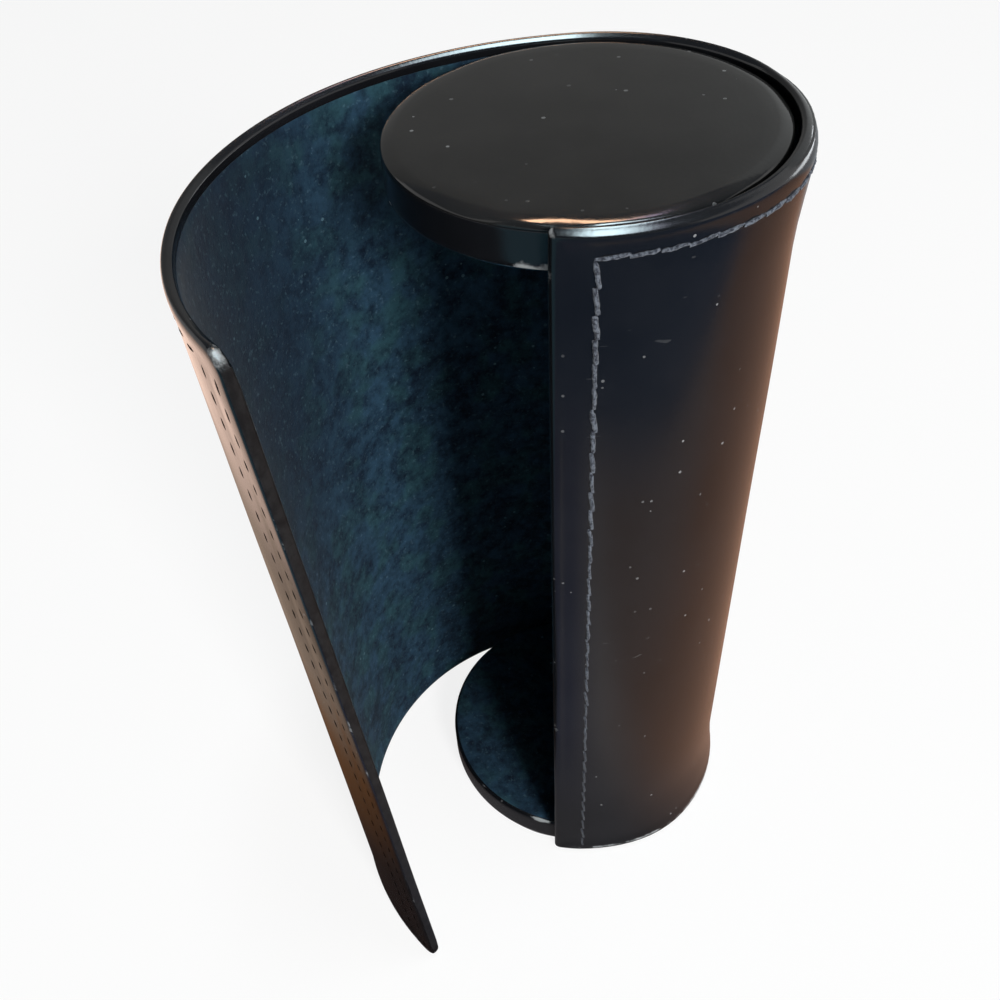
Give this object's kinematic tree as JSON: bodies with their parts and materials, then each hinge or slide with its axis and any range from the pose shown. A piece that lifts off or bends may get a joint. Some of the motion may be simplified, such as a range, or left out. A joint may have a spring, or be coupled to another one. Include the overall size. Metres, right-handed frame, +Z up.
{
  "type": "glasses case",
  "caption": "Hard round-tube glasses case in dark leather with lined end caps and a flexible wrap-round flap that stands open and closes on hidden magnets.",
  "frame": {"origin": "centre of the bottom cap's flat outer face, on the tube's axis", "axes": "+Z up the tube's axis, +Y to the back where the flap is rooted, -Y to the front edge of the wall"},
  "size_m": [0.0923, 0.0922, 0.166],
  "materials": {
    "leather": "glossy, finely grained, scuffed at the edges",
    "suede": "matt suede lining",
    "board": "raw grey board",
    "magnet": "rubber-bonded magnet strip"
  },
  "bodies": {
    "case_body": {"wall_leather": "leather", "wall_board": "board", "wall_lining": "suede", "wall_edge": "leather", "wall_magnet_low": "magnet", "wall_magnet_middle": "magnet", "wall_magnet_high": "magnet", "bottom_cap_face": "leather", "bottom_cap_band": "leather", "bottom_cap_core": "board", "bottom_cap_lining": "suede", "top_cap_face": "leather", "top_cap_band": "leather", "top_cap_core": "board", "top_cap_lining": "suede"},
    "flap_1": {"flap_leather_1": "leather", "flap_board_1": "board", "flap_lining_1": "suede"},
    "flap_2": {"flap_leather_2": "leather", "flap_board_2": "board", "flap_lining_2": "suede"},
    "flap_3": {"flap_leather_3": "leather", "flap_board_3": "board", "flap_lining_3": "suede"},
    "flap_4": {"flap_leather_4": "leather", "flap_board_4": "board", "flap_lining_4": "suede"},
    "flap_5": {"flap_leather_5": "leather", "flap_board_5": "board", "flap_lining_5": "suede"},
    "flap_6": {"flap_leather_6": "leather", "flap_board_6": "board", "flap_lining_6": "suede"},
    "flap_7": {"flap_leather_7": "leather", "flap_board_7": "board", "flap_lining_7": "suede"},
    "flap_8": {"flap_leather_8": "leather", "flap_board_8": "board", "flap_lining_8": "suede", "flap_edge": "leather", "flap_magnet_low": "magnet", "flap_magnet_middle": "magnet", "flap_magnet_high": "magnet"}
  },
  "joints": [
    {"name": "flap_bend_1", "type": "hinge", "parent": "case_body", "child": "flap_1", "pos_m": [0, 0.033, 0.083], "axis": [0, 0, 1], "range_deg": [-3, 4.2]},
    {"name": "flap_bend_2", "type": "hinge", "parent": "flap_1", "child": "flap_2", "pos_m": [-0.01567, 0.0308, 0.083], "axis": [-0.0005, 0.0024, 1], "range_deg": [-6, 8.4]},
    {"name": "flap_bend_3", "type": "hinge", "parent": "flap_2", "child": "flap_3", "pos_m": [-0.03009, 0.02431, 0.083], "axis": [-0.0033, 0.0085, 1], "range_deg": [-6, 8.4]},
    {"name": "flap_bend_4", "type": "hinge", "parent": "flap_3", "child": "flap_4", "pos_m": [-0.04206, 0.014, 0.083], "axis": [-0.0098, 0.016, 0.9998], "range_deg": [-6, 8.4]},
    {"name": "flap_bend_5", "type": "hinge", "parent": "flap_4", "child": "flap_5", "pos_m": [-0.05053, 0.00068, 0.083], "axis": [-0.0201, 0.0225, 0.9995], "range_deg": [-6, 8.4]},
    {"name": "flap_bend_6", "type": "hinge", "parent": "flap_5", "child": "flap_6", "pos_m": [-0.05471, -0.01454, 0.083], "axis": [-0.0331, 0.026, 0.9991], "range_deg": [-6, 8.4]},
    {"name": "flap_bend_7", "type": "hinge", "parent": "flap_6", "child": "flap_7", "pos_m": [-0.05414, -0.03031, 0.083], "axis": [-0.0468, 0.0255, 0.9986], "range_deg": [-6, 8.4]},
    {"name": "flap_bend_8", "type": "hinge", "parent": "flap_7", "child": "flap_8", "pos_m": [-0.04881, -0.04516, 0.083], "axis": [-0.059, 0.0211, 0.998], "range_deg": [-6, 8.4]}
  ],
  "couplings": [
    {"joint": "flap_bend_2", "follows": "flap_bend_1", "ratio": 2},
    {"joint": "flap_bend_3", "follows": "flap_bend_1", "ratio": 2},
    {"joint": "flap_bend_4", "follows": "flap_bend_1", "ratio": 2},
    {"joint": "flap_bend_5", "follows": "flap_bend_1", "ratio": 2},
    {"joint": "flap_bend_6", "follows": "flap_bend_1", "ratio": 2},
    {"joint": "flap_bend_7", "follows": "flap_bend_1", "ratio": 2},
    {"joint": "flap_bend_8", "follows": "flap_bend_1", "ratio": 2}
  ]
}
